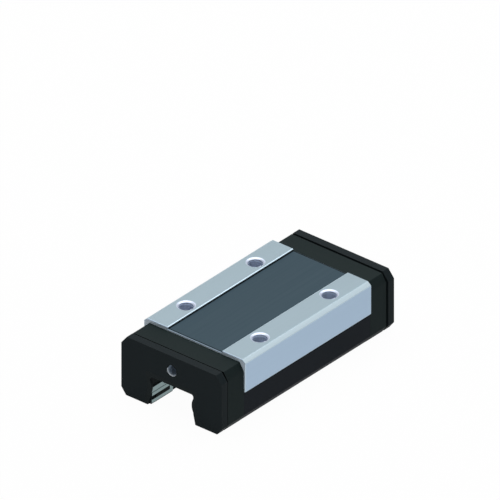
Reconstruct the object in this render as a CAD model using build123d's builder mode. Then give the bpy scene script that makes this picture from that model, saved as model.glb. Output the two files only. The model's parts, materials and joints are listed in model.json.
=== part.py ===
from build123d import *
import math
import os

# Linear bearing block that runs on a profiled rail: a ground steel carriage, a moulded cap
# and seal at each end, and two endless rows of balls that roll on the rail and come back
# through the carriage. X is across the rail, Y along it and Z up. The origin is the middle
# of the underside. All sizes are in millimetres.

# Steel carriage
BLOCK_WIDTH = 44.0
BLOCK_HEIGHT = 23.9
CARRIAGE_LENGTH = 65.6
RECESS_WIDTH = 23.5
RECESS_DEPTH = 0.6
LAND_CHAMFER_X = 1.4
LAND_CHAMFER_Z = 1.15
FLANK_BOTTOM = 11.5
LEG_OUTSIDE = 16.4
LEG_BOTTOM = 1.8
CHANNEL_WIDTH = 19.0
CHANNEL_TOP = 12.0
CHANNEL_CORNER = 0.8

# Tapped mounting holes in the top lands
HOLE_SPACING_X = 32.0
HOLE_SPACING_Y = 36.0
TAP_DRILL = 5.0
TAP_COUNTERSINK = 6.6
TAP_COUNTERSINK_ANGLE = 120
TAP_DEPTH = 5.8

# Balls and their endless track
BALL_DIAMETER = 3.969
BALL_GAP = 0.38
BALLS_IN_TURN = 3
LOAD_HEIGHT = 7.2
LOAD_INSET = 1.0
RACEWAY_CLEARANCE = 0.085
TRACK_CLEARANCE = 0.165
RETURN_ANGLE = 64.0
TUBE_WALL = 0.3
TUBE_CLEARANCE = 0.05

# End caps
CAP_WIDTH = 42.8
CAP_HEIGHT = 22.6
CAP_END_WALL = 2.7
CAP_TOP_CHAMFER_X = 1.85
CAP_TOP_CHAMFER_Z = 3.0
CAP_FOOT_CHAMFER_X = 1.65
CAP_FOOT_CHAMFER_Z = 2.5
PLATE_SEAM_WIDTH = 0.68
PLATE_SEAM_DEPTH = 0.4

# Inner guides of the ball turns
GUIDE_WIDTH = 5.2
GUIDE_RIM = 0.08
GUIDE_CLEARANCE = 0.05

# Seal plates and rubber wipers, and the opening that the rail passes through
SEAL_THICKNESS = 3.0
SEAL_SIDE_OVERHANG = 0.4
SEAL_TOP_OVERHANG = 0.27
SEAL_TOP_CHAMFER_X = 2.45
SEAL_TOP_CHAMFER_Z = 3.05
SEAL_FOOT_CHAMFER_X = 2.05
SEAL_FOOT_CHAMFER_Z = 2.7
WIPER_THICKNESS = 0.9
WIPER_BAND = 1.6
OPENING_WIDTH = 18.8
OPENING_TOP = 11.3
OPENING_CORNER = 0.9
LIP_DEPTH = 0.7
LIP_HALF_HEIGHT = 2.7
FLARE = 0.9
FLARE_HEIGHT = 4.0
PEG_DIAMETER = 3.0
PEG_LENGTH = 2.4
PEG_CLEARANCE = 0.05
PEG_X = 8.5
PEG_Z = 19.0

# Ball retainers along the channel walls, whose ends are held in the caps
RETAINER_THICKNESS = 0.4
RETAINER_SLOT_CLEARANCE = 0.085
RETAINER_BOTTOM = 1.9
RETAINER_TOP = 11.1
RETAINER_END_CLEARANCE = 0.1
TAB_START = 5.0
TAB_HEIGHT = 1.15
PRONG_START = 0.3
PRONG_BOTTOM = 0.6
FORK_START = 1.8
FORK_BOTTOM = 1.8
FORK_TOP = 3.3
FORK_CLEARANCE = 0.1
CREASE_HEIGHT = 4.7
CREASE_WIDTH = 0.35
CREASE_DEPTH = 0.15

# Lower side frames and bottom seals
FRAME_SHADOW_GAP = 0.3
FRAME_BOTTOM = 0.0
FRAME_INSIDE = 11.0
STRIP_THICKNESS = 0.6
STRIP_INSIDE = 9.9
STRIP_OUTSIDE = 14.5
BOTTOM_LIP_REACH = 0.6
BOTTOM_LIP_HEIGHT = 0.95

# Cap screws
SCREW_DIAMETER = 2.5
SCREW_CLEARANCE = 0.05
SCREW_THREAD_LENGTH = 6.0
SCREW_TAP_RUNOUT = 1.0
SCREW_BORE_CLEARANCE = 0.2
HEAD_DIAMETER = 4.4
HEAD_HEIGHT = 2.0
HEAD_SINK = 0.3
HEX_ACROSS_FLATS = 2.0
HEX_DEPTH = 1.1
UPPER_SCREW = (17.9, 19.0)
LOWER_SCREW = (14.2, 4.6)

# Lubrication port
PORT_HEIGHT = 17.1
PORT_BORE = 3.3
PORT_WALL = 0.45
PORT_SINK = 0.1
PORT_MOUTH = 4.1
PORT_MOUTH_ANGLE = 48
INSERT_LENGTH = 7.4
DUCT_DIAMETER = 2.2
DUCT_DEPTH = 1.2
PLUG_CLEARANCE = 0.05
PLUG_LENGTH = 4.0
PLUG_SINK = 0.6
PLUG_HEX = 1.5

# Places worked out from the sizes above
HALF_LENGTH = CARRIAGE_LENGTH / 2
BALL_RADIUS = BALL_DIAMETER / 2
BALLS_IN_ROW = math.floor(CARRIAGE_LENGTH / (BALL_DIAMETER + BALL_GAP))
BALL_PITCH = CARRIAGE_LENGTH / BALLS_IN_ROW
TURN_RADIUS = BALLS_IN_TURN * BALL_PITCH / math.pi
TRACK_RADIUS = BALL_RADIUS + TRACK_CLEARANCE
RISE_X = math.cos(math.radians(RETURN_ANGLE))
RISE_Z = math.sin(math.radians(RETURN_ANGLE))
LOAD_X = CHANNEL_WIDTH / 2 + LOAD_INSET
TURN_X = LOAD_X + TURN_RADIUS * RISE_X
TURN_Z = LOAD_HEIGHT + TURN_RADIUS * RISE_Z
RETURN_X = LOAD_X + 2 * TURN_RADIUS * RISE_X
RETURN_Z = LOAD_HEIGHT + 2 * TURN_RADIUS * RISE_Z
TUBE_RADIUS = TRACK_RADIUS + TUBE_WALL
CAP_DEPTH = TURN_RADIUS + TRACK_RADIUS + CAP_END_WALL
CAP_FACE = HALF_LENGTH + CAP_DEPTH
OUTER_FACE = CAP_FACE + SEAL_THICKNESS
RETAINER_END = OUTER_FACE - WIPER_THICKNESS - RETAINER_END_CLEARANCE
INSERT_RADIUS = PORT_BORE / 2 + PORT_WALL
SCREW_PLACES = [
    (side * x, z) for side in (1, -1) for x, z in (UPPER_SCREW, LOWER_SCREW)
]
PEG_PLACES = [(side * PEG_X, PEG_Z) for side in (1, -1)]


def end_outline(half, top, top_chamfer, foot_chamfer):
    """Section of an end moulding, with chamfers at its shoulders and feet."""
    with BuildSketch() as outline:
        with BuildLine():
            Polyline(
                (0, top),
                (half - top_chamfer[0], top),
                (half, top - top_chamfer[1]),
                (half, foot_chamfer[1]),
                (half - foot_chamfer[0], 0),
                (0, 0),
            )
            mirror(about=Plane.YZ)
        make_face()
    return outline.sketch


def cap_outline(inset=0.0):
    """Outer shape of a cap, seen along the rail, or of the groove at its end."""
    return end_outline(
        CAP_WIDTH / 2 - inset,
        CAP_HEIGHT - inset,
        (CAP_TOP_CHAMFER_X, CAP_TOP_CHAMFER_Z),
        (CAP_FOOT_CHAMFER_X, CAP_FOOT_CHAMFER_Z),
    )


def plate_outline():
    """Outer shape of a seal plate, which stands proud of the cap's sides and top."""
    return end_outline(
        CAP_WIDTH / 2 + SEAL_SIDE_OVERHANG,
        CAP_HEIGHT + SEAL_TOP_OVERHANG,
        (SEAL_TOP_CHAMFER_X, SEAL_TOP_CHAMFER_Z),
        (SEAL_FOOT_CHAMFER_X, SEAL_FOOT_CHAMFER_Z),
    )


def channel_outline():
    """Rectangular rail channel in the steel and the caps, open at the bottom."""
    with BuildSketch() as channel:
        Rectangle(CHANNEL_WIDTH, 2 * CHANNEL_TOP)
        fillet(channel.vertices().group_by(Axis.Y)[-1], CHANNEL_CORNER)
    return channel.sketch


def rail_opening(grow=0.0):
    """Opening that follows the rail's section, with a lip for its side groove."""
    edge = OPENING_WIDTH / 2 + grow
    top = OPENING_TOP + grow
    lip_top = LOAD_HEIGHT + LIP_HALF_HEIGHT
    lip_bottom = LOAD_HEIGHT - LIP_HALF_HEIGHT
    with BuildSketch() as opening:
        with BuildLine():
            Polyline((0, top), (edge, top), (edge, lip_top))
            ThreePointArc(
                (edge, lip_top), (edge - LIP_DEPTH, LOAD_HEIGHT), (edge, lip_bottom)
            )
            Polyline((edge, lip_bottom), (edge, FLARE_HEIGHT), (edge + FLARE, 0), (0, 0))
            mirror(about=Plane.YZ)
        make_face()
        fillet(opening.vertices().group_by(Axis.Y)[-1], OPENING_CORNER)
    return opening.sketch


def carriage_outline():
    """Section of the steel carriage, with its raceways and return bores."""
    half = BLOCK_WIDTH / 2
    floor = BLOCK_HEIGHT - RECESS_DEPTH
    with BuildSketch() as outline:
        with BuildLine():
            Polyline(
                (0, floor),
                (RECESS_WIDTH / 2, floor),
                (RECESS_WIDTH / 2, BLOCK_HEIGHT),
                (half - LAND_CHAMFER_X, BLOCK_HEIGHT),
                (half, BLOCK_HEIGHT - LAND_CHAMFER_Z),
                (half, FLANK_BOTTOM),
                (LEG_OUTSIDE, FLANK_BOTTOM),
                (LEG_OUTSIDE, LEG_BOTTOM),
                (0, LEG_BOTTOM),
            )
            mirror(about=Plane.YZ)
        make_face()
        add(channel_outline(), mode=Mode.SUBTRACT)
        with Locations((LOAD_X, LOAD_HEIGHT), (-LOAD_X, LOAD_HEIGHT)):
            Circle(BALL_RADIUS + RACEWAY_CLEARANCE, mode=Mode.SUBTRACT)
        with Locations((RETURN_X, RETURN_Z), (-RETURN_X, RETURN_Z)):
            Circle(TUBE_RADIUS + TUBE_CLEARANCE, mode=Mode.SUBTRACT)
    return outline.sketch


def make_carriage():
    """Ground steel body with tapped holes in its lands and its end faces."""
    with BuildPart() as carriage:
        with BuildSketch(Plane.XZ):
            add(carriage_outline())
        extrude(amount=HALF_LENGTH, both=True)
        with Locations((0, 0, BLOCK_HEIGHT)):
            with GridLocations(HOLE_SPACING_X, HOLE_SPACING_Y, 2, 2):
                CounterSinkHole(
                    TAP_DRILL / 2,
                    TAP_COUNTERSINK / 2,
                    depth=TAP_DEPTH,
                    counter_sink_angle=TAP_COUNTERSINK_ANGLE,
                )
        for end in (1, -1):
            with BuildSketch(Plane.XZ.offset(end * HALF_LENGTH)):
                with Locations(*SCREW_PLACES):
                    Circle(SCREW_DIAMETER / 2 + SCREW_CLEARANCE)
            extrude(amount=-end * (SCREW_THREAD_LENGTH + SCREW_TAP_RUNOUT), mode=Mode.SUBTRACT)
    return carriage.part


def turn_plane(side):
    """Plane across a front ball turn, with X towards the return bore."""
    return Plane(
        origin=(side * TURN_X, -HALF_LENGTH, TURN_Z),
        x_dir=(side * RISE_X, 0, RISE_Z),
        z_dir=(0, 1, 0),
    )


def make_front_cap():
    """Moulded cap with the outer half of both ball turns, the grease duct and a groove
    round its outer end, where it meets the seal plate."""
    guide_pocket = TURN_RADIUS - GUIDE_RIM + GUIDE_CLEARANCE
    with BuildPart() as cap:
        with BuildSketch(Plane.XZ.offset(HALF_LENGTH)):
            add(cap_outline())
        extrude(amount=CAP_DEPTH - PLATE_SEAM_WIDTH)
        with BuildSketch(Plane.XZ.offset(CAP_FACE - PLATE_SEAM_WIDTH)):
            add(cap_outline(PLATE_SEAM_DEPTH))
        extrude(amount=PLATE_SEAM_WIDTH)
        with BuildSketch(Plane.XZ.offset(HALF_LENGTH)):
            add(channel_outline())
        extrude(amount=CAP_DEPTH, mode=Mode.SUBTRACT)
        with BuildSketch(Plane.XZ.offset(CAP_FACE)):
            for side in (1, -1):
                with Locations((side * CHANNEL_WIDTH / 2, FORK_BOTTOM + FORK_CLEARANCE)):
                    Rectangle(
                        2 * RETAINER_THICKNESS,
                        FORK_TOP - FORK_BOTTOM - 2 * FORK_CLEARANCE,
                        align=(Align.CENTER, Align.MIN),
                    )
        extrude(amount=FORK_START + FORK_CLEARANCE - CAP_DEPTH)
        for side in (1, -1):
            plane = turn_plane(side)
            with BuildSketch(plane):
                with Locations((TURN_RADIUS, 0)):
                    Circle(TRACK_RADIUS)
                with Locations((guide_pocket / 2, 0)):
                    Rectangle(guide_pocket, GUIDE_WIDTH + 2 * GUIDE_CLEARANCE)
            revolve(
                axis=Axis(plane.origin, plane.y_dir),
                revolution_arc=180,
                mode=Mode.SUBTRACT,
            )
        with Locations(Plane.XZ.offset(CAP_FACE)):
            with Locations(*SCREW_PLACES):
                CounterBoreHole(
                    SCREW_DIAMETER / 2 + SCREW_BORE_CLEARANCE,
                    HEAD_DIAMETER / 2 + SCREW_BORE_CLEARANCE,
                    HEAD_HEIGHT + HEAD_SINK,
                    depth=CAP_DEPTH,
                )
            with Locations(*PEG_PLACES):
                Hole(PEG_DIAMETER / 2 + PEG_CLEARANCE, depth=PEG_LENGTH + PEG_CLEARANCE)
            with Locations((0, PORT_HEIGHT)):
                Hole(
                    INSERT_RADIUS + PLUG_CLEARANCE,
                    depth=INSERT_LENGTH + PORT_SINK - SEAL_THICKNESS,
                )
                Hole(DUCT_DIAMETER / 2, depth=CAP_DEPTH)
        with BuildSketch(Plane.XZ.offset(HALF_LENGTH)):
            with Locations((0, PORT_HEIGHT)):
                SlotCenterToCenter(2 * RETURN_X, DUCT_DIAMETER)
        extrude(amount=DUCT_DEPTH, mode=Mode.SUBTRACT)
    return cap.part


def make_front_guide(side):
    """D-shaped inner guide that a ball turn runs round."""
    plane = turn_plane(side)
    rim = TURN_RADIUS - GUIDE_RIM
    with BuildPart() as guide:
        with BuildSketch(plane):
            with Locations((rim / 2, 0)):
                Rectangle(rim, GUIDE_WIDTH)
            with Locations((TURN_RADIUS, 0)):
                Circle(TRACK_RADIUS, mode=Mode.SUBTRACT)
        revolve(axis=Axis(plane.origin, plane.y_dir), revolution_arc=180)
    return guide.part


def make_front_seal_plate():
    """Outer plate that stands a little proud of the cap and carries the wiper."""
    with BuildPart() as plate:
        with BuildSketch(Plane.XZ.offset(CAP_FACE)):
            add(plate_outline())
        extrude(amount=SEAL_THICKNESS)
        with BuildSketch(Plane.XZ.offset(CAP_FACE)):
            add(channel_outline())
            with Locations((0, PORT_HEIGHT)):
                Circle(INSERT_RADIUS + PLUG_CLEARANCE)
        extrude(amount=SEAL_THICKNESS, mode=Mode.SUBTRACT)
        with BuildSketch(Plane.XZ.offset(OUTER_FACE)):
            add(rail_opening(WIPER_BAND))
        extrude(amount=-WIPER_THICKNESS, mode=Mode.SUBTRACT)
        with BuildSketch(Plane.XZ.offset(CAP_FACE)):
            with Locations(*PEG_PLACES):
                Circle(PEG_DIAMETER / 2)
        extrude(amount=-PEG_LENGTH)
    return plate.part


def make_front_wiper():
    """Rubber wiper that fills the rebate round the opening and touches the rail."""
    with BuildPart() as wiper:
        with BuildSketch(Plane.XZ.offset(OUTER_FACE)):
            add(rail_opening(WIPER_BAND))
            add(rail_opening(), mode=Mode.SUBTRACT)
        extrude(amount=-WIPER_THICKNESS)
    return wiper.part


def make_port_insert():
    """Threaded metal sleeve in the lubrication port, with a tapered mouth."""
    with BuildPart() as insert:
        with BuildSketch(Plane.XZ.offset(OUTER_FACE - PORT_SINK)):
            with Locations((0, PORT_HEIGHT)):
                Circle(INSERT_RADIUS)
        extrude(amount=-INSERT_LENGTH)
        with Locations(Plane.XZ.offset(OUTER_FACE - PORT_SINK)):
            with Locations((0, PORT_HEIGHT)):
                CounterSinkHole(
                    PORT_BORE / 2, PORT_MOUTH / 2, counter_sink_angle=PORT_MOUTH_ANGLE
                )
    return insert.part


def make_port_plug():
    """Set screw that closes the port that isn't in use."""
    with BuildPart() as plug:
        with BuildSketch(Plane.XZ.offset(OUTER_FACE - PORT_SINK - PLUG_SINK)):
            with Locations((0, PORT_HEIGHT)):
                Circle(PORT_BORE / 2 - PLUG_CLEARANCE)
        extrude(amount=-PLUG_LENGTH)
        with BuildSketch(Plane.XZ.offset(OUTER_FACE - PORT_SINK - PLUG_SINK)):
            with Locations((0, PORT_HEIGHT)):
                RegularPolygon(PLUG_HEX / 2, 6, major_radius=False)
        extrude(amount=-PLUG_LENGTH / 2, mode=Mode.SUBTRACT)
    return plug.part


def make_front_screws():
    """Four socket screws that clamp a cap to the carriage."""
    seat = CAP_FACE - HEAD_SINK - HEAD_HEIGHT
    with BuildPart() as screws:
        with BuildSketch(Plane.XZ.offset(HALF_LENGTH - SCREW_THREAD_LENGTH)):
            with Locations(*SCREW_PLACES):
                Circle(SCREW_DIAMETER / 2)
        extrude(amount=seat - HALF_LENGTH + SCREW_THREAD_LENGTH)
        with BuildSketch(Plane.XZ.offset(seat)):
            with Locations(*SCREW_PLACES):
                Circle(HEAD_DIAMETER / 2)
        extrude(amount=HEAD_HEIGHT)
        with BuildSketch(Plane.XZ.offset(seat + HEAD_HEIGHT)):
            with Locations(*SCREW_PLACES):
                RegularPolygon(HEX_ACROSS_FLATS / 2, 6, major_radius=False)
        extrude(amount=-HEX_DEPTH, mode=Mode.SUBTRACT)
    return screws.part


def make_right_frame():
    """Black side frame under the steel flank, with a flange under the leg."""
    frame_top = FLANK_BOTTOM - FRAME_SHADOW_GAP
    with BuildPart() as frame:
        with BuildSketch(Plane.XZ):
            add(cap_outline())
            with Locations((FRAME_INSIDE, FRAME_BOTTOM)):
                Rectangle(
                    CAP_WIDTH,
                    frame_top - FRAME_BOTTOM,
                    align=(Align.MIN, Align.MIN),
                    mode=Mode.INTERSECT,
                )
            with Locations((LEG_OUTSIDE, LEG_BOTTOM)):
                Rectangle(
                    LEG_OUTSIDE, CAP_HEIGHT, align=(Align.MAX, Align.MIN), mode=Mode.SUBTRACT
                )
            with Locations((STRIP_OUTSIDE, FRAME_BOTTOM)):
                Rectangle(
                    STRIP_OUTSIDE,
                    STRIP_THICKNESS,
                    align=(Align.MAX, Align.MIN),
                    mode=Mode.SUBTRACT,
                )
        extrude(amount=HALF_LENGTH, both=True)
    return frame.part


def make_right_bottom_strip():
    """Sheet steel strip that carries the bottom seal."""
    with BuildPart() as strip:
        with BuildSketch(Plane.XZ):
            with Locations((STRIP_INSIDE, FRAME_BOTTOM)):
                Rectangle(
                    STRIP_OUTSIDE - STRIP_INSIDE,
                    STRIP_THICKNESS,
                    align=(Align.MIN, Align.MIN),
                )
        extrude(amount=HALF_LENGTH, both=True)
    return strip.part


def make_right_bottom_lip():
    """Rubber lip bonded to the inner edge of the strip."""
    tip = STRIP_INSIDE - BOTTOM_LIP_REACH
    with BuildPart() as lip:
        with BuildSketch(Plane.XZ):
            with BuildLine():
                Polyline(
                    (STRIP_INSIDE, FRAME_BOTTOM),
                    (STRIP_INSIDE, FRAME_BOTTOM + STRIP_THICKNESS),
                    (tip, FRAME_BOTTOM + BOTTOM_LIP_HEIGHT),
                    (tip, FRAME_BOTTOM + STRIP_THICKNESS),
                    close=True,
                )
            make_face()
        extrude(amount=HALF_LENGTH, both=True)
    return lip.part


def slot_half_height():
    """Half the height of the slot between the retainers, where a ball shows through."""
    depth = LOAD_X - CHANNEL_WIDTH / 2
    return math.sqrt(BALL_RADIUS**2 - depth**2) + RETAINER_SLOT_CLEARANCE


def make_right_upper_retainer():
    """Steel strip that keeps the load balls in from above."""
    bottom = LOAD_HEIGHT + slot_half_height()
    with BuildPart() as retainer:
        with BuildSketch(Plane.XZ):
            with Locations((CHANNEL_WIDTH / 2, bottom)):
                Rectangle(
                    RETAINER_THICKNESS,
                    RETAINER_TOP - bottom,
                    align=(Align.MAX, Align.MIN),
                )
        extrude(amount=HALF_LENGTH, both=True)
    return retainer.part


def make_right_lower_retainer():
    """Steel strip that keeps the load balls in from below, with a forked end in each cap."""
    top = LOAD_HEIGHT - slot_half_height()
    tab_start = HALF_LENGTH + TAB_START
    prong_start = HALF_LENGTH + PRONG_START
    fork_start = HALF_LENGTH + FORK_START
    with BuildPart() as retainer:
        with BuildSketch(Plane.YZ.offset(CHANNEL_WIDTH / 2)):
            with BuildLine():
                Polyline(
                    (0, RETAINER_BOTTOM),
                    (prong_start, RETAINER_BOTTOM),
                    (prong_start, PRONG_BOTTOM),
                    (RETAINER_END, PRONG_BOTTOM),
                    (RETAINER_END, FORK_BOTTOM),
                    (fork_start, FORK_BOTTOM),
                    (fork_start, FORK_TOP),
                    (RETAINER_END, FORK_TOP),
                    (RETAINER_END, top + TAB_HEIGHT),
                    (tab_start, top + TAB_HEIGHT),
                    (tab_start, top),
                    (0, top),
                )
                mirror(about=Plane.YZ)
            make_face()
        extrude(amount=-RETAINER_THICKNESS)
        with BuildSketch(Plane.YZ.offset(CHANNEL_WIDTH / 2 - RETAINER_THICKNESS)):
            with Locations((0, CREASE_HEIGHT)):
                Rectangle(2 * RETAINER_END, CREASE_WIDTH)
        extrude(amount=CREASE_DEPTH, mode=Mode.SUBTRACT)
    return retainer.part


def make_right_tube():
    """Plastic tube that lines the return bore."""
    with BuildPart() as tube:
        with BuildSketch(Plane.XZ):
            with Locations((RETURN_X, RETURN_Z)):
                Circle(TUBE_RADIUS)
                Circle(TRACK_RADIUS, mode=Mode.SUBTRACT)
        extrude(amount=HALF_LENGTH, both=True)
    return tube.part


def make_ball_row(x, z):
    """Straight row of balls along the carriage."""
    first = -HALF_LENGTH + BALL_PITCH / 2
    with BuildPart() as row:
        with Locations(*[(x, first + i * BALL_PITCH, z) for i in range(BALLS_IN_ROW)]):
            Sphere(BALL_RADIUS)
    return row.part


def make_front_turn_balls(side):
    """Balls on their way round a front turn."""
    plane = turn_plane(side)
    with BuildPart() as balls:
        for i in range(BALLS_IN_TURN):
            angle = math.pi * (i + 0.5) / BALLS_IN_TURN
            across = TURN_RADIUS * math.cos(angle)
            outwards = TURN_RADIUS * math.sin(angle)
            with Locations(plane.from_local_coords((across, 0, -outwards))):
                Sphere(BALL_RADIUS)
    return balls.part


def mirrored(part, plane):
    """The same piece on the other side of a plane."""
    with BuildPart() as copy:
        mirror(part, about=plane)
    return copy.part


def write(part, label):
    part.label = label
    export_step(part, f"parts/{label}.step")


os.makedirs("parts", exist_ok=True)

write(make_carriage(), "carriage_body")

# Pieces that are alike at both ends
for name, piece in (
    ("end_cap", make_front_cap()),
    ("seal_plate", make_front_seal_plate()),
    ("wiper", make_front_wiper()),
    ("port_insert", make_port_insert()),
    ("cap_screws", make_front_screws()),
    ("right_turn_guide", make_front_guide(1)),
    ("left_turn_guide", make_front_guide(-1)),
    ("right_turn_balls", make_front_turn_balls(1)),
    ("left_turn_balls", make_front_turn_balls(-1)),
):
    write(piece, f"front_{name}")
    write(mirrored(piece, Plane.XZ), f"rear_{name}")

# The port at the rear is closed
write(mirrored(make_port_plug(), Plane.XZ), "rear_port_plug")

# Pieces that are alike on both sides
for name, piece in (
    ("lower_frame", make_right_frame()),
    ("bottom_seal_strip", make_right_bottom_strip()),
    ("bottom_seal_lip", make_right_bottom_lip()),
    ("upper_retainer", make_right_upper_retainer()),
    ("lower_retainer", make_right_lower_retainer()),
    ("return_tube", make_right_tube()),
    ("load_balls", make_ball_row(LOAD_X, LOAD_HEIGHT)),
    ("return_balls", make_ball_row(RETURN_X, RETURN_Z)),
):
    write(piece, f"right_{name}")
    write(mirrored(piece, Plane.YZ), f"left_{name}")
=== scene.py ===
import bmesh
import bpy
import math
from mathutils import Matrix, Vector
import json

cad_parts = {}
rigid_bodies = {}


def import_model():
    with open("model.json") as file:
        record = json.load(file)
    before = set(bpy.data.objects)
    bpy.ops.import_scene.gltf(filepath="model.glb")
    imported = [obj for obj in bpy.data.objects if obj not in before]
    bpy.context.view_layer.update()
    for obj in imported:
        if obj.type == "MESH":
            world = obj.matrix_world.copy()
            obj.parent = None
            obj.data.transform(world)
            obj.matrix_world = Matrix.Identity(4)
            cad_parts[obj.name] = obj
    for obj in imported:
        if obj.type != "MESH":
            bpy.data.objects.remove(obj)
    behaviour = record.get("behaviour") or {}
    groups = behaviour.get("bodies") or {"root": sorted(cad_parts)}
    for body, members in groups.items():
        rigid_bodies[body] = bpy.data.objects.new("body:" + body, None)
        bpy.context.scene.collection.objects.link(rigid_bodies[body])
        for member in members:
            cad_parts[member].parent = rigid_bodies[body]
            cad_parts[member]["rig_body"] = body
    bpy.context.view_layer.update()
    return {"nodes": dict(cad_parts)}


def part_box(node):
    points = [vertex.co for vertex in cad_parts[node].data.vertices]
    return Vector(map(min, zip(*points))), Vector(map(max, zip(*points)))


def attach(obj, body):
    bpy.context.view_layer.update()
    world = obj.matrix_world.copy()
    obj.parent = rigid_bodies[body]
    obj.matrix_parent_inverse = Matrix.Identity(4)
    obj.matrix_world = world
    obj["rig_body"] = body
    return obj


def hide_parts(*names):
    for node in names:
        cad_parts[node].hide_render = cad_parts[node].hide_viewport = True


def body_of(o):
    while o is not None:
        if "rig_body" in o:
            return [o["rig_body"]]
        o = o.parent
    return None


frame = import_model()
MM = 0.001

# Carriage body: one piece of bearing steel, hardened and then ground on its lands, flanks and
# chamfers. The middle of the top is left as hardened, a dark slate below the lands. The
# mouths of the four tapped holes are countersunk after grinding, and are painted the
# brightest: partly fresh-cut steel, partly a painted highlight.
EDGE_BREAK = 0.1 * MM
OUTER_ROUND = 0.28 * MM
BEVEL_STEPS = 2
BEVEL_ANGLE = math.radians(32)
SQUARE_ANGLE = math.radians(70)
SMOOTH_ANGLE = math.radians(35)
SAME_POINT = 0.0005 * MM
SAME_PLANE = math.radians(0.4)
STEEL_HALF_LENGTH = 32.8 * MM
STEEL_HALF_WIDTH = 22.0 * MM
LAND_HEIGHT = 23.9 * MM
LAND_INSIDE = 11.75 * MM
RECESS_ZONE = 20 * MM
RECESS_HALF_WIDTH = 11.7 * MM
RECESS_TOP = 23.4 * MM
RECESS_BORDER = 0.35 * MM
RECESS_MIDDLE = 5 * MM
CHAMFER_START = 20 * MM
FLANK_FOOT = 11.5 * MM
HOLE_PLACES = [(x * MM, y * MM) for x in (-16, 16) for y in (-18, 18)]
MOUTH_RADIUS = 3.3 * MM
MOUTH_DEPTH = 0.9 * MM
WALL_TOP = 23.5 * MM
HOLE_FLOOR = 17 * MM
DRILL_RADIUS = 2.5 * MM
FACING = 0.95
LEVEL = 0.99
ROUNDED = 0.985


def level_normals(piece):
    """Flat faces that shade as flat beside rounded edges."""
    if piece.data.has_custom_normals:
        bpy.ops.mesh.customdata_custom_splitnormals_clear()
    bpy.ops.object.shade_smooth_by_angle(angle=SMOOTH_ANGLE)
    level = piece.modifiers.new("level faces", "WEIGHTED_NORMAL")
    level.weight = 100
    level.keep_sharp = True
    bpy.ops.object.modifier_apply(modifier=level.name)


def round_square_edges(piece, width, wanted):
    """Rounds the outward square edges whose middles wanted(place) picks out, in edit mode."""
    mesh = bmesh.from_edit_mesh(piece.data)
    bpy.ops.mesh.select_mode(type="EDGE")
    bpy.ops.mesh.select_all(action="DESELECT")
    for edge in mesh.edges:
        middle = (edge.verts[0].co + edge.verts[1].co) / 2
        square = edge.is_manifold and edge.is_convex and edge.calc_face_angle(0) > SQUARE_ANGLE
        edge.select_set(square and wanted(middle))
    bmesh.update_edit_mesh(piece.data)
    bpy.ops.mesh.bevel(
        offset=width, offset_type="OFFSET", segments=BEVEL_STEPS, affect="EDGES"
    )
    bpy.ops.mesh.select_mode(type="VERT")


def dressed_copy(node, edge, round_where=None):
    """A merged copy of a fixed part's mesh with its sharp edges rounded, which stands for it.

    Square edges that round_where(place) picks out get the larger outer rounding first.
    """
    source = frame["nodes"][node]
    piece = bpy.data.objects.new(f"{node}_finished", source.data.copy())
    bpy.context.scene.collection.objects.link(piece)
    bpy.ops.object.select_all(action="DESELECT")
    piece.select_set(True)
    bpy.context.view_layer.objects.active = piece
    bpy.ops.object.mode_set(mode="EDIT")
    bpy.ops.mesh.select_all(action="SELECT")
    bpy.ops.mesh.remove_doubles(threshold=SAME_POINT)
    bpy.ops.mesh.dissolve_limited(angle_limit=SAME_PLANE)
    if round_where:
        round_square_edges(piece, OUTER_ROUND, round_where)
    bpy.ops.object.mode_set(mode="OBJECT")
    bevel = piece.modifiers.new("edge break", "BEVEL")
    bevel.width = edge
    bevel.segments = BEVEL_STEPS
    bevel.limit_method = "ANGLE"
    bevel.angle_limit = BEVEL_ANGLE
    bevel.use_clamp_overlap = True
    bpy.ops.object.modifier_apply(modifier=bevel.name)
    level_normals(piece)
    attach(piece, body_of(source)[0])
    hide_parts(node)
    return piece


def new_group(name, inputs, outputs):
    """An empty shader group with its own input and output nodes."""
    group = bpy.data.node_groups.new(name, "ShaderNodeTree")
    for label, kind, value in inputs:
        socket = group.interface.new_socket(label, in_out="INPUT", socket_type=kind)
        socket.default_value = value
    for label, kind in outputs:
        group.interface.new_socket(label, in_out="OUTPUT", socket_type=kind)
    return group, group.nodes.new("NodeGroupInput"), group.nodes.new("NodeGroupOutput")


def grinding_group():
    """Fine lines that run along the block, and the slow tone changes of a ground face."""
    group, given, out = new_group(
        "ground_lay",
        [("Line Scale", "NodeSocketFloat", 900.0), ("Stretch", "NodeSocketFloat", 0.02)],
        [("Lines", "NodeSocketFloat"), ("Tone", "NodeSocketFloat")],
    )
    nodes, links = group.nodes, group.links
    place = nodes.new("ShaderNodeTexCoord")
    squeeze = nodes.new("ShaderNodeCombineXYZ")
    squeeze.inputs["X"].default_value = 1.0
    squeeze.inputs["Z"].default_value = 1.0
    stretched = nodes.new("ShaderNodeVectorMath")
    stretched.operation = "MULTIPLY"
    lines = nodes.new("ShaderNodeTexNoise")
    lines.inputs["Detail"].default_value = 4.0
    tone = nodes.new("ShaderNodeTexNoise")
    tone.inputs["Scale"].default_value = 60.0
    tone.inputs["Detail"].default_value = 2.0
    links.new(given.outputs["Stretch"], squeeze.inputs["Y"])
    links.new(place.outputs["Object"], stretched.inputs[0])
    links.new(squeeze.outputs["Vector"], stretched.inputs[1])
    links.new(stretched.outputs["Vector"], lines.inputs["Vector"])
    links.new(given.outputs["Line Scale"], lines.inputs["Scale"])
    links.new(stretched.outputs["Vector"], tone.inputs["Vector"])
    links.new(lines.outputs["Fac"], out.inputs["Lines"])
    links.new(tone.outputs["Fac"], out.inputs["Tone"])
    return group


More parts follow.
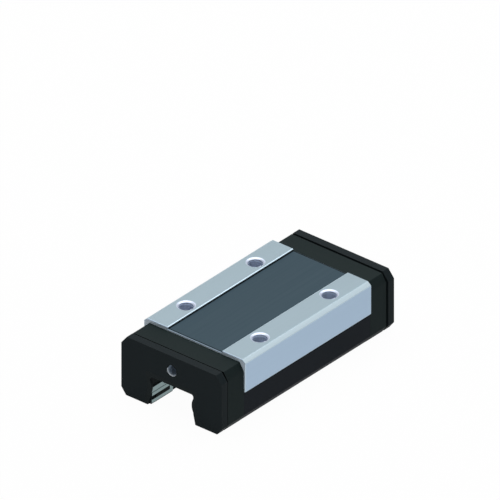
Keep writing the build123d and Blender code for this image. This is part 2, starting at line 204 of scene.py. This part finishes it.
def edge_group():
    """A mask that is white near edges, where they are painted lighter: partly rubbed wear, partly
    painted highlight.
    """
    group, given, out = new_group(
        "edge_wear_and_highlight",
        [("Reach", "NodeSocketFloat", 0.0005), ("Contrast", "NodeSocketFloat", 4.0)],
        [("Edge", "NodeSocketFloat")],
    )
    nodes, links = group.nodes, group.links
    rounded = nodes.new("ShaderNodeBevel")
    rounded.samples = 4
    flat = nodes.new("ShaderNodeNewGeometry")
    dot = nodes.new("ShaderNodeVectorMath")
    dot.operation = "DOT_PRODUCT"
    turned = nodes.new("ShaderNodeMath")
    turned.operation = "SUBTRACT"
    turned.inputs[0].default_value = 1.0
    strong = nodes.new("ShaderNodeMath")
    strong.operation = "MULTIPLY"
    strong.use_clamp = True
    links.new(given.outputs["Reach"], rounded.inputs["Radius"])
    links.new(rounded.outputs["Normal"], dot.inputs[0])
    links.new(flat.outputs["Normal"], dot.inputs[1])
    links.new(dot.outputs["Value"], turned.inputs[1])
    links.new(turned.outputs["Value"], strong.inputs[0])
    links.new(given.outputs["Contrast"], strong.inputs[1])
    links.new(strong.outputs["Value"], out.inputs["Edge"])
    return group


GROUND_LAY = grinding_group()
EDGE_WEAR_AND_HIGHLIGHT = edge_group()
GROUND_DULL = 0.93
LAY_DEPTH = 0.05 * MM
ROUGH_SPREAD = 0.15


def place_group(nodes, group, **values):
    """A shader group placed in a material, with its own values for some of its inputs."""
    node = nodes.new("ShaderNodeGroup")
    node.node_tree = group
    for label, value in values.items():
        node.inputs[label].default_value = value
    return node


def blend_colours(nodes, links, mask, low, high):
    """A colour that goes from low to high as the mask goes from 0 to 1."""
    mix = nodes.new("ShaderNodeMix")
    mix.data_type = "RGBA"
    links.new(mask, mix.inputs["Factor"])
    for value, label in ((low, "A"), (high, "B")):
        socket = next(s for s in mix.inputs if s.name == label and s.type == "RGBA")
        if isinstance(value, tuple):
            socket.default_value = (*value, 1.0)
        else:
            links.new(value, socket)
    return next(s for s in mix.outputs if s.type == "RGBA")


def vary_roughness(nodes, links, mask, roughness, socket):
    """A roughness that lies around its middle value, a little either way, as the mask varies."""
    spread = nodes.new("ShaderNodeMapRange")
    spread.inputs["To Min"].default_value = roughness * (1 - ROUGH_SPREAD)
    spread.inputs["To Max"].default_value = roughness * (1 + ROUGH_SPREAD)
    links.new(mask, spread.inputs["Value"])
    links.new(spread.outputs["Result"], socket)


def add_relief(nodes, links, height, strength, distance, socket):
    """Fine relief from a mask, on the shader's normal."""
    bump = nodes.new("ShaderNodeBump")
    bump.inputs["Strength"].default_value = strength
    bump.inputs["Distance"].default_value = distance
    links.new(height, bump.inputs["Height"])
    links.new(bump.outputs["Normal"], socket)


def metal(name, colour, bright, roughness, relief=0.04, edge=0.5, metallic=1.0):
    """Steel with a grinding lay, slow changes of tone, and edges painted lighter: partly rubbed
    wear, partly painted highlight.
    """
    material = bpy.data.materials.new(name)
    material.use_nodes = True
    nodes, links = material.node_tree.nodes, material.node_tree.links
    shader = nodes["Principled BSDF"]
    shader.inputs["Metallic"].default_value = metallic
    lay = place_group(nodes, GROUND_LAY)
    wear_and_highlight = place_group(nodes, EDGE_WEAR_AND_HIGHLIGHT, Contrast=edge)
    dull = tuple(c * GROUND_DULL for c in colour)
    toned = blend_colours(nodes, links, lay.outputs["Tone"], dull, colour)
    edged = blend_colours(nodes, links, wear_and_highlight.outputs["Edge"], toned, bright)
    links.new(edged, shader.inputs["Base Color"])
    lines = lay.outputs["Lines"]
    vary_roughness(nodes, links, lines, roughness, shader.inputs["Roughness"])
    add_relief(nodes, links, lines, relief, LAY_DEPTH, shader.inputs["Normal"])
    return material


def set_material(piece, material):
    piece.data.materials.clear()
    piece.data.materials.append(material)


def paint_faces(piece, material, wanted):
    """Gives a second material to the faces that wanted(face) picks out."""
    piece.data.materials.append(material)
    number = len(piece.data.materials) - 1
    for face in piece.data.polygons:
        if wanted(face):
            face.material_index = number


# The second colour of each steel is painted on near its edges, partly as rubbed wear and partly as
# painted highlight.
ground_steel = metal("ground_steel", (0.249, 0.317, 0.356), (0.38, 0.475, 0.535), 0.42, edge=20.0)
# The flanks have the lands' ground finish. They are painted bluer and lighter, as painted light on
# the side faces.
flank_lit_steel = metal("flank_lit_steel", (0.39, 0.51, 0.645), (0.58, 0.71, 0.80), 0.42, edge=20.0)
# The chamfers have the same ground finish, painted lighter as a painted highlight where they face
# the light.
chamfer_lit_steel = metal("chamfer_lit_steel", (0.402, 0.491, 0.541), (0.45, 0.55, 0.59), 0.38, edge=2.0)
slate_steel = metal("slate_steel", (0.0285, 0.0515, 0.0675), (0.05, 0.08, 0.1), 0.5, edge=1.0)
# The end faces are painted far lighter than the ground steel, and matt, as a painted highlight on
# the strips of end face beside the caps.
end_highlight_steel = metal("end_highlight_steel", (0.76, 0.89, 1.0), (0.76, 0.89, 1.0), 0.5, metallic=0.0)
# Near-black painted shade, for the walls and border of the recess.
painted_shade_steel = metal("painted_shade_steel", (0.006, 0.010, 0.013), (0.01, 0.015, 0.018), 0.7, edge=0.0)
# Countersink mouths: fresh-cut steel, also painted bright as a painted highlight.
cut_and_highlight_steel = metal("cut_and_highlight_steel", (0.44, 0.49, 0.59), (0.54, 0.59, 0.68), 0.35, edge=1.0)
# The hole walls and threads are painted lighter than their shade inside the holes, as painted
# light.
hole_lit_steel = metal("hole_lit_steel", (0.56, 0.62, 0.72), (0.6, 0.66, 0.78), 0.5, edge=1.0)
# A light copy of the steel for the rounded lengthwise edges, as a painted highlight.
edge_highlight_steel = metal("edge_highlight_steel", (0.50, 0.62, 0.71), (0.6, 0.72, 0.8), 0.42, edge=1.0)
# A slightly lighter, bluer copy of the ground steel, as a faint painted highlight on the rounded
# end edges.
end_edge_lit_steel = metal("end_edge_lit_steel", (0.27, 0.34, 0.42), (0.3, 0.38, 0.46), 0.42, edge=1.0)


def hole_distance(place):
    return min(math.hypot(place.x - x, place.y - y) for x, y in HOLE_PLACES)


def on_outer_edge(place):
    """True above the frames, beside the flanks or the top, and away from the holes."""
    outside = abs(place.x) > STEEL_HALF_WIDTH - 0.5 * MM or place.z > LAND_HEIGHT - 1.4 * MM
    above = place.z > FLANK_FOOT - 0.1 * MM
    return outside and above and hole_distance(place) > MOUTH_RADIUS + 0.2 * MM


def on_land_rim(place):
    """True on the rounded inner edge of a land, beside the recess."""
    across = abs(place.x) - LAND_INSIDE
    return 0 < across < OUTER_ROUND and place.z > LAND_HEIGHT - OUTER_ROUND


def in_recess(place):
    """True on the recessed middle of the top, with its ends."""
    return RECESS_ZONE < place.z < RECESS_TOP and abs(place.x) < RECESS_HALF_WIDTH


def is_end(face):
    return abs(face.normal.y) > FACING and abs(face.center.y) > STEEL_HALF_LENGTH - 0.8 * MM


def is_recess_corner(face):
    """The walls of the recess and its border, where it meets the lands, painted near-black as
    painted shade.
    """
    low = RECESS_ZONE < face.center.z < LAND_HEIGHT - OUTER_ROUND
    inside = abs(face.center.x) < LAND_INSIDE + 0.02 * MM
    return low and inside and face.normal.z > -0.1 and abs(face.normal.y) < 0.1


def is_flank(face):
    return abs(face.normal.x) > FACING and abs(face.center.x) > STEEL_HALF_WIDTH - 0.3 * MM


def is_lengthwise_edge(face):
    """The rounded edges of the flanks and of the lands' inner sides, painted light as a painted
    highlight.
    """
    beside_flank = abs(face.center.x) > STEEL_HALF_WIDTH - 0.5 * MM and face.normal.z < 0.3
    slanted = max(map(abs, face.normal)) < ROUNDED
    edge = on_outer_edge(face.center) and slanted
    return edge and (beside_flank or on_land_rim(face.center))


def is_end_edge(face):
    """The rounded edges where the top and the chamfers meet the ends, painted as a faint painted
    highlight.
    """
    slanted = 0.15 < abs(face.normal.y) < ROUNDED and face.normal.z > 0.15
    return on_outer_edge(face.center) and slanted


def is_slate(face):
    """The floor of the recess inside its border, and the upper part of its end edges."""
    middle = max(abs(face.center.x), abs(face.center.y)) < RECESS_MIDDLE
    floor = face.normal.z > LEVEL and middle
    end_edge = 0.05 < abs(face.normal.y) < 0.6 and face.normal.z > 0.5
    return in_recess(face.center) and (floor or end_edge)


def is_chamfer(face):
    slanted = 0.5 < abs(face.normal.x) < 0.75 and face.normal.z > 0.6
    return slanted and abs(face.center.x) > CHAMFER_START


def is_hole_wall(face):
    inside = hole_distance(face.center) < DRILL_RADIUS * 1.02
    return inside and HOLE_FLOOR < face.center.z < WALL_TOP


def is_hole_mouth(face):
    inside = hole_distance(face.center) < MOUTH_RADIUS * 1.03
    slanted = 0.2 < face.normal.z < 0.98
    return inside and slanted and face.center.z > LAND_HEIGHT - MOUTH_DEPTH


carriage = dressed_copy("carriage_body", EDGE_BREAK, round_where=on_outer_edge)
# The recess floor gets an inset border, which is painted near-black below as painted shade.
bpy.ops.object.mode_set(mode="EDIT")
bpy.ops.mesh.select_mode(type="FACE")
bpy.ops.mesh.select_all(action="DESELECT")
bpy.ops.object.mode_set(mode="OBJECT")
for face in carriage.data.polygons:
    face.select = face.normal.z > LEVEL and in_recess(face.center)
bpy.ops.object.mode_set(mode="EDIT")
bpy.ops.mesh.inset(thickness=RECESS_BORDER, use_boundary=True)
bpy.ops.mesh.select_mode(type="VERT")
bpy.ops.object.mode_set(mode="OBJECT")
level_normals(carriage)
set_material(carriage, ground_steel)
for steel, wanted in (
    (end_highlight_steel, is_end),
    (painted_shade_steel, is_recess_corner),
    (flank_lit_steel, is_flank),
    (edge_highlight_steel, is_lengthwise_edge),
    (end_edge_lit_steel, is_end_edge),
    (slate_steel, is_slate),
    (chamfer_lit_steel, is_chamfer),
    (hole_lit_steel, is_hole_wall),
    (cut_and_highlight_steel, is_hole_mouth),
):
    paint_faces(carriage, steel, wanted)

# Threads of the four tapped holes: a single-start M6 thread with 1 mm pitch, cut after the
# holes are drilled. Each is a ridge wound down the wall of its hole, of the carriage's steel,
# painted lighter like the hole walls, as painted light inside the holes.
THREAD_PITCH = 1.0 * MM
THREAD_DEPTH = 0.26 * MM
THREAD_TURNS = 5
THREAD_TOP = 23.2 * MM
THREAD_SIDES = 3
THREAD_STEPS = 32
THREAD_SMOOTH_ANGLE = math.radians(40)


def wound_thread(name, bore_radius, pitch, depth, turns):
    """A helical ridge on the wall of a bore round Z, from z = 0 upwards."""
    bpy.ops.object.select_all(action="DESELECT")
    bpy.ops.mesh.primitive_circle_add(
        vertices=THREAD_SIDES, radius=depth, location=(bore_radius, 0, 0)
    )
    thread = bpy.context.active_object
    thread.name = name
    bpy.ops.object.mode_set(mode="EDIT")
    bpy.ops.transform.rotate(
        value=math.pi / 2, orient_axis="Z", center_override=(bore_radius, 0, 0)
    )
    bpy.ops.transform.rotate(
        value=math.pi / 2, orient_axis="X", center_override=(bore_radius, 0, 0)
    )
    bpy.ops.object.mode_set(mode="OBJECT")
    bpy.ops.object.transform_apply(location=True, rotation=True, scale=True)
    screw = thread.modifiers.new("winding", "SCREW")
    screw.axis = "Z"
    screw.screw_offset = pitch
    screw.iterations = turns
    screw.steps = THREAD_STEPS
    screw.render_steps = THREAD_STEPS
    bpy.ops.object.modifier_apply(modifier=screw.name)
    bpy.ops.object.mode_set(mode="EDIT")
    bpy.ops.mesh.select_all(action="DESELECT")
    bpy.ops.mesh.select_mode(type="EDGE")
    bpy.ops.mesh.select_non_manifold()
    bpy.ops.mesh.fill()
    bpy.ops.mesh.select_all(action="SELECT")
    bpy.ops.mesh.normals_make_consistent(inside=False)
    bpy.ops.mesh.select_mode(type="VERT")
    bpy.ops.object.mode_set(mode="OBJECT")
    bpy.ops.object.shade_smooth_by_angle(angle=THREAD_SMOOTH_ANGLE)
    return thread


tapped_thread = wound_thread(
    "tapped_thread_1", DRILL_RADIUS, THREAD_PITCH, THREAD_DEPTH, THREAD_TURNS
)
tapped_thread.data.materials.append(hole_lit_steel)
threads = [tapped_thread]
for number in (2, 3, 4):
    again = bpy.data.objects.new(f"tapped_thread_{number}", tapped_thread.data.copy())
    bpy.context.scene.collection.objects.link(again)
    threads.append(again)
thread_foot = THREAD_TOP - THREAD_TURNS * THREAD_PITCH
for thread, (x, y) in zip(threads, HOLE_PLACES):
    for vertex in thread.data.vertices:
        vertex.co += Vector((x, y, thread_foot))
    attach(thread, "carriage")

# End caps: injection mouldings in black glass-filled nylon that hold the ball turns, each
# clamped to the end of the carriage. The mould's spark-eroded finish leaves a fine matt
# grain, and the corners are broken so that they part from the mould.
MOULD_EDGE = 0.12 * MM
PLATE_SEAM_START = 41.1 * MM


def grain_group():
    """The fine grain of an eroded mould, with the slow unevenness of cooled plastic."""
    group, given, out = new_group(
        "moulded_grain",
        [("Grain Scale", "NodeSocketFloat", 4500.0), ("Cloud Scale", "NodeSocketFloat", 90.0)],
        [("Grain", "NodeSocketFloat"), ("Cloud", "NodeSocketFloat")],
    )
    nodes, links = group.nodes, group.links
    place = nodes.new("ShaderNodeTexCoord")
    grain = nodes.new("ShaderNodeTexNoise")
    grain.inputs["Detail"].default_value = 3.0
    cloud = nodes.new("ShaderNodeTexNoise")
    cloud.inputs["Detail"].default_value = 2.0
    for texture, label in ((grain, "Grain Scale"), (cloud, "Cloud Scale")):
        links.new(place.outputs["Object"], texture.inputs["Vector"])
        links.new(given.outputs[label], texture.inputs["Scale"])
    links.new(grain.outputs["Fac"], out.inputs["Grain"])
    links.new(cloud.outputs["Fac"], out.inputs["Cloud"])
    return group


MOULDED_GRAIN = grain_group()
CLOUD_DARK = 0.85
GRAIN_DEPTH = 0.03 * MM


def moulding(name, colour, sheen, roughness, gloss, relief=0.12):
    """Plastic or rubber with a fine grain and slightly lighter edges: partly polish, partly
    painted sheen.
    """
    material = bpy.data.materials.new(name)
    material.use_nodes = True
    nodes, links = material.node_tree.nodes, material.node_tree.links
    shader = nodes["Principled BSDF"]
    shader.inputs["Specular IOR Level"].default_value = gloss
    grain = place_group(nodes, MOULDED_GRAIN)
    wear_and_highlight = place_group(nodes, EDGE_WEAR_AND_HIGHLIGHT, Contrast=2.0)
    dark = tuple(c * CLOUD_DARK for c in colour)
    clouded = blend_colours(nodes, links, grain.outputs["Cloud"], dark, colour)
    edged = blend_colours(nodes, links, wear_and_highlight.outputs["Edge"], clouded, sheen)
    links.new(edged, shader.inputs["Base Color"])
    fine = grain.outputs["Grain"]
    vary_roughness(nodes, links, fine, roughness, shader.inputs["Roughness"])
    add_relief(nodes, links, fine, relief, GRAIN_DEPTH, shader.inputs["Normal"])
    return material


cap_black = moulding("cap_black", (0.0110, 0.0194, 0.0200), (0.02, 0.028, 0.029), 0.6, 0.06)
# Near-black painted shade, for the groove where the seal plate meets the cap and for the bottom
# edges of the caps and frames.
painted_shade_black = moulding("painted_shade_black", (0.004, 0.006, 0.0065), (0.006, 0.008, 0.009), 0.8, 0.02)
for end in ("front", "rear"):
    cap = dressed_copy(f"{end}_end_cap", MOULD_EDGE)
    set_material(cap, cap_black)
    paint_faces(
        cap,
        painted_shade_black,
        lambda f: abs(f.center.y) > PLATE_SEAM_START or f.center.z < MOULD_EDGE,
    )

# Seal plates: the outer mouldings that clip into the caps on two pegs. They stand a little
# proud of the caps all round, and a fine groove marks where the two meet.
plate_black = moulding("plate_black", (0.0111, 0.0172, 0.0198), (0.02, 0.028, 0.029), 0.6, 0.06)
for end in ("front", "rear"):
    set_material(dressed_copy(f"{end}_seal_plate", MOULD_EDGE), plate_black)

# Side frames: long black mouldings below the steel flanks, in line with the caps. A fine
# gap under the flank keeps the ground face free; the top of each frame below it is painted
# near-black as a painted shadow line, and its bottom edge is painted near-black as painted shade.
# The frames' black is painted a little darker than the caps', as painted shade on their side
# faces.
frame_shaded_black = moulding("frame_shaded_black", (0.0091, 0.0128, 0.0178), (0.02, 0.026, 0.029), 0.6, 0.06)
FRAME_TOP = 11.2 * MM
for side in ("right", "left"):
    side_frame = dressed_copy(f"{side}_lower_frame", MOULD_EDGE)
    set_material(side_frame, frame_shaded_black)
    paint_faces(
        side_frame,
        painted_shade_black,
        lambda f: f.center.z > FRAME_TOP - MOULD_EDGE or f.center.z < MOULD_EDGE,
    )

# Wipers and bottom lips: nitrile rubber, smooth from a polished mould, with edges that stay
# sharp enough to wipe the rail.
LIP_EDGE = 0.06 * MM
wiper_rubber = moulding(
    "wiper_rubber", (0.0115, 0.017, 0.0185), (0.018, 0.024, 0.026), 0.65, 0.08, relief=0.05
)
for end in ("front", "rear"):
    set_material(dressed_copy(f"{end}_wiper", LIP_EDGE), wiper_rubber)
for side in ("right", "left"):
    set_material(dressed_copy(f"{side}_bottom_seal_lip", LIP_EDGE), wiper_rubber)

# Retainers and bottom strips: bright rolled stainless sheet, blanked to shape. They line the
# rail channel and show as lengthwise stripes with the ball slot dark between them.
SHEET_EDGE = 0.05 * MM
# The sheet's colour is painted darker than bright stainless, as painted shade inside the rail
# channel.
strip_steel = metal("strip_steel", (0.215, 0.29, 0.295), (0.42, 0.5, 0.52), 0.3, relief=0.02)
for side in ("right", "left"):
    for strip in ("upper_retainer", "lower_retainer", "bottom_seal_strip"):
        set_material(dressed_copy(f"{side}_{strip}", SHEET_EDGE), strip_steel)

# Balls: hardened chrome steel, lapped to a mirror. The load rows show in the slot between
# the retainers, and the others are inside the caps and the return bores.
ball_steel = metal("ball_steel", (0.72, 0.74, 0.78), (0.8, 0.82, 0.85), 0.08, relief=0.0, edge=0.0)


def finish_solids(endings, material):
    """Gives a material to the solids whose names end so, which keep their shapes."""
    for name, node in frame["nodes"].items():
        if name.endswith(endings):
            set_material(node, material)


finish_solids("_balls", ball_steel)

# Return tubes and turn guides: natural acetal, slippery and quiet, hidden in the carriage
# and the caps. They show only through the ends of the ball slot.
acetal = moulding("natural_acetal", (0.62, 0.61, 0.56), (0.7, 0.69, 0.65), 0.4, 0.4, relief=0.03)
finish_solids(("_turn_guide", "_return_tube"), acetal)

# Cap screws and the port's set screw: alloy steel socket screws with a black oxide finish.
# The seal plates hide the cap screws, and the set screw sits deep in the rear port.
black_oxide = metal("black_oxide", (0.05, 0.052, 0.058), (0.2, 0.2, 0.22), 0.35, edge=1.5)
finish_solids(("_cap_screws", "_port_plug"), black_oxide)

# Lubrication ports: turned and plated sleeves pressed into the moulding, with an M4 thread.
# The lower part of each tapered mouth is painted bright as a painted highlight, a crescent, and
# the rest is painted as black as the plate as painted shade, round a dull thread that is
# painted lighter than its shade in the bore.
PORT_HEIGHT = 17.1 * MM
PORT_RADIUS = 1.65 * MM
PORT_PITCH = 0.7 * MM
PORT_DEPTH = 0.16 * MM
PORT_TURNS = 8
PORT_THREAD_START = 1.0 * MM
PORT_RIM_START = 44.3 * MM
PORT_BRIGHT_TOP = PORT_HEIGHT + PORT_RADIUS / 6


def is_bright_rim(face):
    """The lower part of the tapered mouth, painted bright as a painted highlight. The rest of the
    mouth is painted as black as the plate, as painted shade.
    """
    inward = abs(face.normal.y) < 0.6 and face.center.z < PORT_BRIGHT_TOP
    return inward and abs(face.center.y) > PORT_RIM_START


mouth_highlight = metal("painted_mouth_highlight", (0.70, 0.77, 0.84), (0.75, 0.82, 0.88), 0.4, metallic=0.0)
# The bore and threads are painted a light matt colour, as painted light inside the port.
lit_port_thread = metal("lit_port_thread", (0.28, 0.35, 0.43), (0.3, 0.38, 0.46), 0.5, metallic=0.0)
for end in ("front", "rear"):
    sleeve = dressed_copy(f"{end}_port_insert", SHEET_EDGE)
    set_material(sleeve, lit_port_thread)
    bpy.ops.object.mode_set(mode="EDIT")
    for way in (-1, 1):
        bpy.ops.mesh.select_all(action="SELECT")
        bpy.ops.mesh.bisect(plane_co=(0, way * PORT_RIM_START, 0), plane_no=(0, 1, 0))
    bpy.ops.object.mode_set(mode="OBJECT")
    # Past the rim, the sleeve's front ring and mouth are painted as black as the plate, as painted
    # shade; the lower mouth is then painted bright as a painted highlight.
    paint_faces(sleeve, plate_black, lambda f: abs(f.center.y) > PORT_RIM_START)
    paint_faces(sleeve, mouth_highlight, is_bright_rim)
front_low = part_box("front_port_insert")[0]
port_thread = wound_thread("front_port_thread", PORT_RADIUS, PORT_PITCH, PORT_DEPTH, PORT_TURNS)
bpy.ops.object.select_all(action="DESELECT")
port_thread.select_set(True)
bpy.context.view_layer.objects.active = port_thread
bpy.ops.object.mode_set(mode="EDIT")
bpy.ops.mesh.select_all(action="SELECT")
bpy.ops.transform.rotate(value=math.pi / 2, orient_axis="X", center_override=(0, 0, 0))
bpy.ops.object.mode_set(mode="OBJECT")
thread_low = min(v.co.y for v in port_thread.data.vertices)
for vertex in port_thread.data.vertices:
    vertex.co += Vector((0, front_low.y + PORT_THREAD_START - thread_low, PORT_HEIGHT))
port_thread.data.materials.append(lit_port_thread)
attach(port_thread, "carriage")

# Stage: a plain white floor that keeps a faint shadow, one large soft lamp overhead, and the
# camera, a parallel view from the front right.
FLOOR_SIZE = 4.0
SHADOW_SHARE = 0.03
AZIMUTH = math.radians(39.82)
ELEVATION = math.radians(31.38)
PICTURE_WIDTH = 0.16647
AIM_HEIGHT = 11.4 * MM
AIM_RIGHT = -2.554 * MM
AIM_UP = 27.217 * MM
CAMERA_DISTANCE = 0.6
CAMERA_REACH = 10.0
SKY_STRENGTH = 0.2
LAMP_PLACE = Vector((-0.1, 0.25, 1.1))
LAMP_SIZE = 1.5
LAMP_POWER = 13.0


def seen_rays(nodes, links):
    """1 for the rays that show the backdrop, and 0 for those that light the object."""
    rays = nodes.new("ShaderNodeLightPath")
    seen = rays.outputs["Is Camera Ray"]
    for kind in ("Is Glossy Ray", "Is Transmission Ray"):
        either = nodes.new("ShaderNodeMath")
        either.operation = "MAXIMUM"
        links.new(seen, either.inputs[0])
        links.new(rays.outputs[kind], either.inputs[1])
        seen = either.outputs["Value"]
    return seen


def backdrop_material():
    """White where it is seen, apart from a share that takes light and the object's shadow."""
    material = bpy.data.materials.new("floor_white")
    material.use_nodes = True
    nodes, links = material.node_tree.nodes, material.node_tree.links
    nodes.remove(nodes["Principled BSDF"])
    share = nodes.new("ShaderNodeMath")
    share.operation = "MULTIPLY"
    share.inputs[1].default_value = 1 - SHADOW_SHARE
    matt = nodes.new("ShaderNodeBsdfDiffuse")
    matt.inputs["Color"].default_value = (1, 1, 1, 1)
    white = nodes.new("ShaderNodeEmission")
    white.inputs["Color"].default_value = (1, 1, 1, 1)
    mix = nodes.new("ShaderNodeMixShader")
    links.new(seen_rays(nodes, links), share.inputs[0])
    links.new(share.outputs["Value"], mix.inputs["Fac"])
    links.new(matt.outputs["BSDF"], mix.inputs[1])
    links.new(white.outputs["Emission"], mix.inputs[2])
    links.new(mix.outputs["Shader"], nodes["Material Output"].inputs["Surface"])
    return material


bpy.ops.object.select_all(action="DESELECT")
bpy.ops.mesh.primitive_plane_add(size=FLOOR_SIZE, location=(0, 0, 0))
floor = bpy.context.active_object
floor.name = "floor"
floor.data.materials.append(backdrop_material())

world = bpy.data.worlds.new("studio")
bpy.context.scene.world = world
world.use_nodes = True
sky_nodes, sky_links = world.node_tree.nodes, world.node_tree.links
sky = sky_nodes["Background"]
sky.inputs["Color"].default_value = (1, 1, 1, 1)
sky.inputs["Strength"].default_value = SKY_STRENGTH
seen_sky = sky_nodes.new("ShaderNodeBackground")
seen_sky.inputs["Color"].default_value = (1, 1, 1, 1)
sky_mix = sky_nodes.new("ShaderNodeMixShader")
sky_links.new(seen_rays(sky_nodes, sky_links), sky_mix.inputs["Fac"])
sky_links.new(sky.outputs["Background"], sky_mix.inputs[1])
sky_links.new(seen_sky.outputs["Background"], sky_mix.inputs[2])
sky_links.new(sky_mix.outputs["Shader"], sky_nodes["World Output"].inputs["Surface"])

bpy.ops.object.light_add(type="AREA", location=LAMP_PLACE)
lamp = bpy.context.active_object
lamp.name = "top_lamp"
lamp.data.size = LAMP_SIZE
lamp.data.energy = LAMP_POWER
lamp.rotation_euler = (-LAMP_PLACE).to_track_quat("-Z", "Y").to_euler()

right = Vector((math.cos(AZIMUTH), math.sin(AZIMUTH), 0))
back = Vector((
    math.sin(AZIMUTH) * math.cos(ELEVATION),
    -math.cos(AZIMUTH) * math.cos(ELEVATION),
    math.sin(ELEVATION),
))
up = back.cross(right)
bpy.ops.object.camera_add(
    location=Vector((0, 0, AIM_HEIGHT)) + right * AIM_RIGHT + up * AIM_UP + back * CAMERA_DISTANCE
)
camera = bpy.context.active_object
camera.name = "camera"
camera.rotation_euler = (-back).to_track_quat("-Z", "Y").to_euler()
camera.data.type = "ORTHO"
camera.data.ortho_scale = PICTURE_WIDTH
camera.data.clip_end = CAMERA_REACH
bpy.context.scene.camera = camera
bpy.context.scene.view_settings.view_transform = "Standard"
